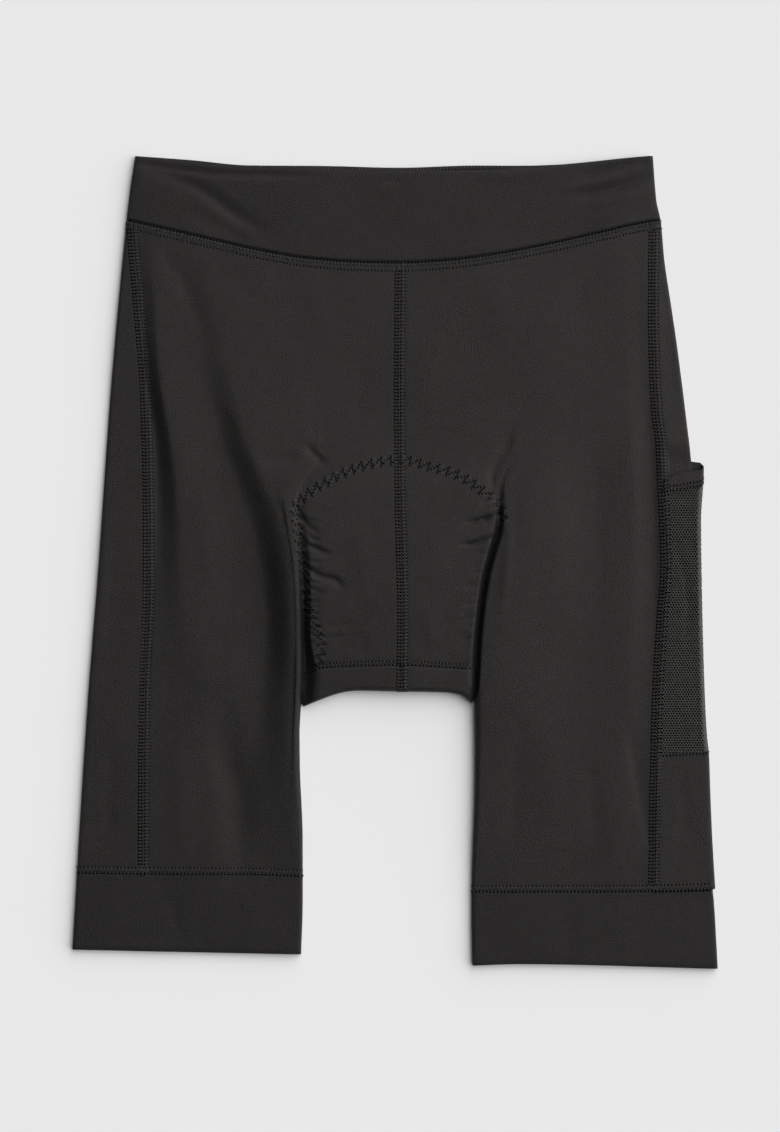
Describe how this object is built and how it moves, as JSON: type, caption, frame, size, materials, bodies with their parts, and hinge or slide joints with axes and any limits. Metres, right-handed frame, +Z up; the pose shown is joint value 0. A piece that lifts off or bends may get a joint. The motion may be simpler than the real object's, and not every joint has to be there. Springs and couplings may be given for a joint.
{
  "type": "cycling shorts",
  "caption": "Pull-on cycling shorts laid flat, front up: high waistband, flatlock panel seams, stitched-in seat pad, hem bands and a net side pocket.",
  "frame": {"origin": "on the surface that the shorts lie on, under the middle of their outline", "axes": "+Y towards the waist, +X towards the wearer's left leg (the viewer's right), +Z up from the surface through the front layer"},
  "size_m": [0.4395, 0.5532, 0.0116],
  "materials": {
    "jersey": "satin black stretch jersey",
    "binding": "matt black folded elastic binding",
    "net": "matt black power net",
    "pad_cover": "matt black brushed jersey over foam",
    "thread": "black polyester sewing thread"
  },
  "bodies": {
    "root": {"waistband_front": "jersey", "waistband_back": "jersey", "front_panel_right": "jersey", "front_panel_left": "jersey", "side_panel_right": "jersey", "side_panel_left": "jersey", "back_panel_right": "jersey", "back_panel_left": "jersey", "hem_band_right": "jersey", "hem_band_left": "jersey", "pocket_lower_panel": "jersey", "pocket_binding": "binding", "pocket_net": "net", "seat_pad": "pad_cover"}
  },
  "joints": []
}
